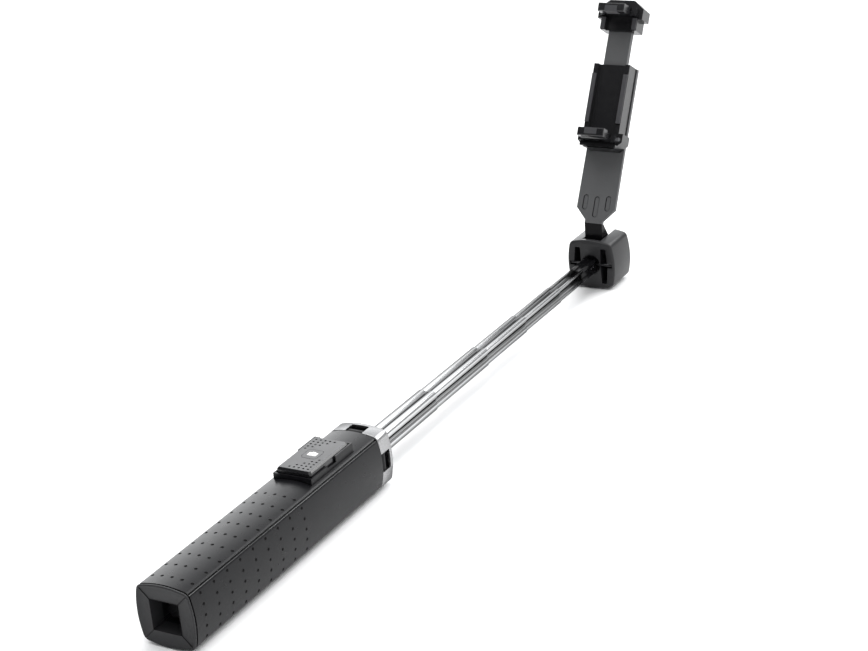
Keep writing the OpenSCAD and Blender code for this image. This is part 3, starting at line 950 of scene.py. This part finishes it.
def arm():
    """The flat arm, its bent neck and the barrel that it tilts on; neck and barrel are painted near-black
    as painted shade.
    """
    plate_points = [
        (-6.1, 25.8),
        (-6.1, 27.8),
        (-13.4, 35.6),
        (-13.2, 73.0),
        (-13.2, 128.0),
        (13.2, 128.0),
        (13.2, 73.0),
        (13.4, 35.6),
        (6.1, 27.8),
        (6.1, 25.8),
    ]
    plate = extrude_y("arm", [Vector(p) for p in plate_points], PLATE_FRONT, PLATE_BACK)
    plate.data.materials.append(ARM_GREY)
    y, z = ARM_HINGE
    stem_points = [
        (PLATE_FRONT + 0.05, 28.4),
        (PLATE_FRONT + 0.05, 25.8),
        arm_local(HEAD_START + 6.7, 20),
        arm_local(y - BARREL_RADIUS + 0.05, z),
        arm_local(y, z - 1),
        arm_local(y + BARREL_RADIUS - 0.05, z),
        arm_local(HEAD_START + 15.5, 16),
        (PLATE_BACK - 0.05, 26.3),
        (PLATE_BACK - 0.05, 28.4),
    ]
    stem = extrude_x("stem", [Vector(p) for p in stem_points], -STEM_HALF, STEM_HALF)
    barrel = rod_x("barrel", BARREL_RADIUS, STEM_HALF, *arm_local(y, z), steps=64)
    # painted shade: neck and barrel take a near-black that stands for the shade of the bend
    for piece in (stem, barrel):
        piece.data.materials.append(SHADED_STEM_AND_PLUG_BLACK)
    boolean(plate, [stem, barrel], "UNION", "TRANSFER")
    hole = rod_x("hole", ARM_PIN_RADIUS + 0.05, 15, *arm_local(y, z), steps=48)
    # painted shade: the hole's wall takes the core black
    hole.data.materials.append(BLACK_CORE_AND_SHADE)
    boolean(plate, [hole], material_mode="TRANSFER")
    soften(plate, 0.35, segments=3, angle=20)
    recesses = [arm_recess(-7.9, 36, 42.5), arm_recess(0, 31.5, 41.7), arm_recess(7.9, 36, 42.5)]
    boolean(plate, recesses, material_mode="TRANSFER")
    weigh_normals(smooth(plate, 30))
    plate.data.transform(ARM_PLACE)
    install(plate, "arm", ["arm_plate"], ARM_GREY)


arm()
for cad_node, finish in {
    "clamp_housing": CLAMP_BLACK,
    "back_pads_lower": PAD_RUBBER,
    "hook_lower": CLAMP_BLACK,
    "hook_pad_lower": PAD_RUBBER,
    "clamp_slider": ARM_GREY,
    "clamp_top": CLAMP_BLACK,
    "back_pad_upper": PAD_RUBBER,
    "hook_upper": CLAMP_BLACK,
    "hook_pad_upper": PAD_RUBBER,
}.items():
    dress_bevelled(cad_node, finish, 0.3)
for cad_node in ("clamp_screw", "hook_pin_lower", "hook_pin_upper"):
    dress(cad_node, STEEL)


# ---------------------------------------------------------------- remote
def footprint(inset):
    """The remote's outline, its corners less round the further it is drawn in."""
    corner = REMOTE_CORNER - inset * 0.6
    return rounded_box(REMOTE_HALF[0] - inset, REMOTE_HALF[1] - inset, corner, REMOTE_CENTRE)


def dot_places():
    """Two triangles of dots at opposite corners of the cover."""
    places = []
    for row in range(DOT_ROWS):
        for column in range(DOT_ROWS - row):
            x = DOT_PITCH[0] * column
            y = DOT_PITCH[1] * row
            places.append((NEAR_DOT[0] - x, NEAR_DOT[1] + y))
            places.append((FAR_DOT[0] + x, FAR_DOT[1] - y))
    return places


def remote_cover():
    """The grey lid with its black bevelled rim, rows of dots and hole for the button."""
    levels = [(REMOTE_SPLIT, 0.0), (REMOTE_TOP - REMOTE_BEVEL, 0.0), (REMOTE_TOP, 1.0)]
    rings = [[(p.x, p.y, z) for p in footprint(inset)] for z, inset in levels]
    cover = loft("cover", rings)
    cover.data.materials.append(CLAMP_BLACK)
    cover.data.materials.append(REMOTE_GREY)
    top = max(cover.data.polygons, key=lambda face: face.center.z)
    top.material_index = 1
    hole = rounded_box(BUTTON_HOLE_HALF, BUTTON_HOLE_HALF, BUTTON_HOLE_CORNER, REMOTE_CENTRE)
    cutters = [
        extrude_z("hollow", footprint(REMOTE_WALL), REMOTE_SPLIT - 1, REMOTE_TOP - 1.0),
        extrude_z("button_hole", hole, REMOTE_SPLIT, REMOTE_TOP + 1),
        round_z("lamp_hole", DOT_RADIUS, REMOTE_SPLIT, REMOTE_TOP + 1, LAMP_PLACE),
    ]
    # painted shade: the walls of the hollow and the holes take the core black
    for cutter in cutters:
        cutter.data.materials.append(BLACK_CORE_AND_SHADE)
    boolean(cover, cutters, material_mode="TRANSFER")
    soften(cover, 0.15, segments=2, angle=30)
    places = [place for place in dot_places() if math.dist(place, LAMP_PLACE) > DOT_RADIUS]
    bottom = REMOTE_TOP - DOT_DEPTH
    dots = join([round_z("dot", DOT_RADIUS, bottom, REMOTE_TOP + 0.5, place, 16) for place in places])
    # painted shade: the dots are painted near-black
    dots.data.materials.append(PAINTED_SHADE_BLACK)
    boolean(cover, [dots], material_mode="TRANSFER")
    weigh_normals(smooth(cover, 30))
    install(cover, "remote", ["remote_cover"], REMOTE_GREY)


remote_cover()
for cad_node, finish in {
    "remote_cradle": HANDLE_BLACK,
    "remote_tray": BLACK_CORE_AND_SHADE,
    "remote_board": BOARD_GREEN,
    "shutter_button": REMOTE_GREY,
    "button_icon": ICON_WHITE,
}.items():
    dress_bevelled(cad_node, finish, 0.2)
dress("coin_cell", STEEL)
dress("remote_led", LAMP)


# ---------------------------------------------------------------- studio
def area_light(name, place, target, size, power):
    """A soft rectangular lamp, with its size in metres and its power in watts."""
    data = bpy.data.lights.new(name, "AREA")
    data.shape = "RECTANGLE"
    data.size = size[0]
    data.size_y = size[1]
    data.energy = power
    obj = bpy.data.objects.new(name, data)
    obj.location = place
    obj.rotation_mode = "QUATERNION"
    obj.rotation_quaternion = (Vector(target) - Vector(place)).to_track_quat("-Z", "Y")
    bpy.context.scene.collection.objects.link(obj)


def glow(tree, direction, place, inner, outer, strength):
    """A soft round patch, lighter or darker, on the surround; its place and radii are in degrees."""
    azimuth, height = [math.radians(angle) for angle in place]
    centre = (
        math.sin(azimuth) * math.cos(height),
        math.cos(azimuth) * math.cos(height),
        math.sin(height),
    )
    near = tree.nodes.new("ShaderNodeVectorMath")
    near.operation = "DOT_PRODUCT"
    near.inputs[1].default_value = centre
    tree.links.new(direction, near.inputs[0])
    fall = tree.nodes.new("ShaderNodeMapRange")
    fall.interpolation_type = "SMOOTHSTEP"
    fall.inputs["From Min"].default_value = math.cos(math.radians(outer))
    fall.inputs["From Max"].default_value = math.cos(math.radians(inner))
    fall.inputs["To Max"].default_value = strength
    tree.links.new(near.outputs["Value"], fall.inputs["Value"])
    return fall.outputs["Result"]


def surround():
    """A grey surround with bright patches, as of lamps behind cloth, and one dark one."""
    world = bpy.data.worlds.new("surround")
    world.use_nodes = True
    tree = world.node_tree
    direction = tree.nodes.new("ShaderNodeTexCoord").outputs["Generated"]
    grey = tree.nodes.new("ShaderNodeValue")
    grey.outputs["Value"].default_value = 0.5
    total = grey.outputs["Value"]
    patches = [
        ((-38, 12), 12, 35, 2.9),
        ((6, 37), 7, 16, 5.0),
        ((25, 30), 5, 14, 1.5),
        ((-146, 30), 30, 60, -0.42),
        ((150, 30), 15, 35, 1.0),
        ((0, 88), 20, 45, 1.0),
    ]
    for place, inner, outer, strength in patches:
        add = tree.nodes.new("ShaderNodeMath")
        tree.links.new(glow(tree, direction, place, inner, outer, strength), add.inputs[0])
        tree.links.new(total, add.inputs[1])
        total = add.outputs["Value"]
    background = tree.nodes["Background"]
    background.inputs["Color"].default_value = (0.98, 0.99, 1.0, 1)
    tree.links.new(total, background.inputs["Strength"])
    bpy.context.scene.world = world


def studio():
    """A pale floor, the surround and two soft lamps: one above, one far off to the right."""
    surround()
    builder = bmesh.new()
    bmesh.ops.create_grid(builder, x_segments=1, y_segments=1, size=4)
    floor = make_object("floor", builder)
    floor.location = (0, 0.25, cad_low.z - 0.4 * MM)
    pale = new_material("pale_floor", (0.92, 0.92, 0.92), 0.7, specular=0.1)
    smudge = add_noise(pale, 12, 3)
    feed(pale, "Roughness", map_range(pale, smudge.outputs["Fac"], NOISE_RANGE, (0.65, 0.75)))
    floor.data.materials.append(pale)
    area_light("strip", (0.8, 1.2, 0.92), (0, 0.15, 0), (1.0, 0.4), 10)
    area_light("above", (-0.2, 0.2, 1.6), (0, 0.25, 0), (1.4, 1.4), 16)


def camera():
    """Stands to the right of the handle's end and above it, looking along the stick."""
    place = Vector((0.51720, -0.59339, 0.45013))
    target = Vector((0.0, 0.26062, 0.03922))
    roll = math.radians(-5.52)
    data = bpy.data.cameras.new("camera")
    data.sensor_width = 36
    data.lens = 80.66
    data.clip_start = 0.01
    data.clip_end = 50
    obj = bpy.data.objects.new("camera", data)
    obj.location = place
    obj.rotation_mode = "QUATERNION"
    look = (target - place).to_track_quat("-Z", "Y")
    obj.rotation_quaternion = look @ Matrix.Rotation(roll, 3, "Z").to_quaternion()
    bpy.context.scene.collection.objects.link(obj)
    bpy.context.scene.camera = obj


studio()
camera()
bpy.context.scene.view_settings.view_transform = "Standard"
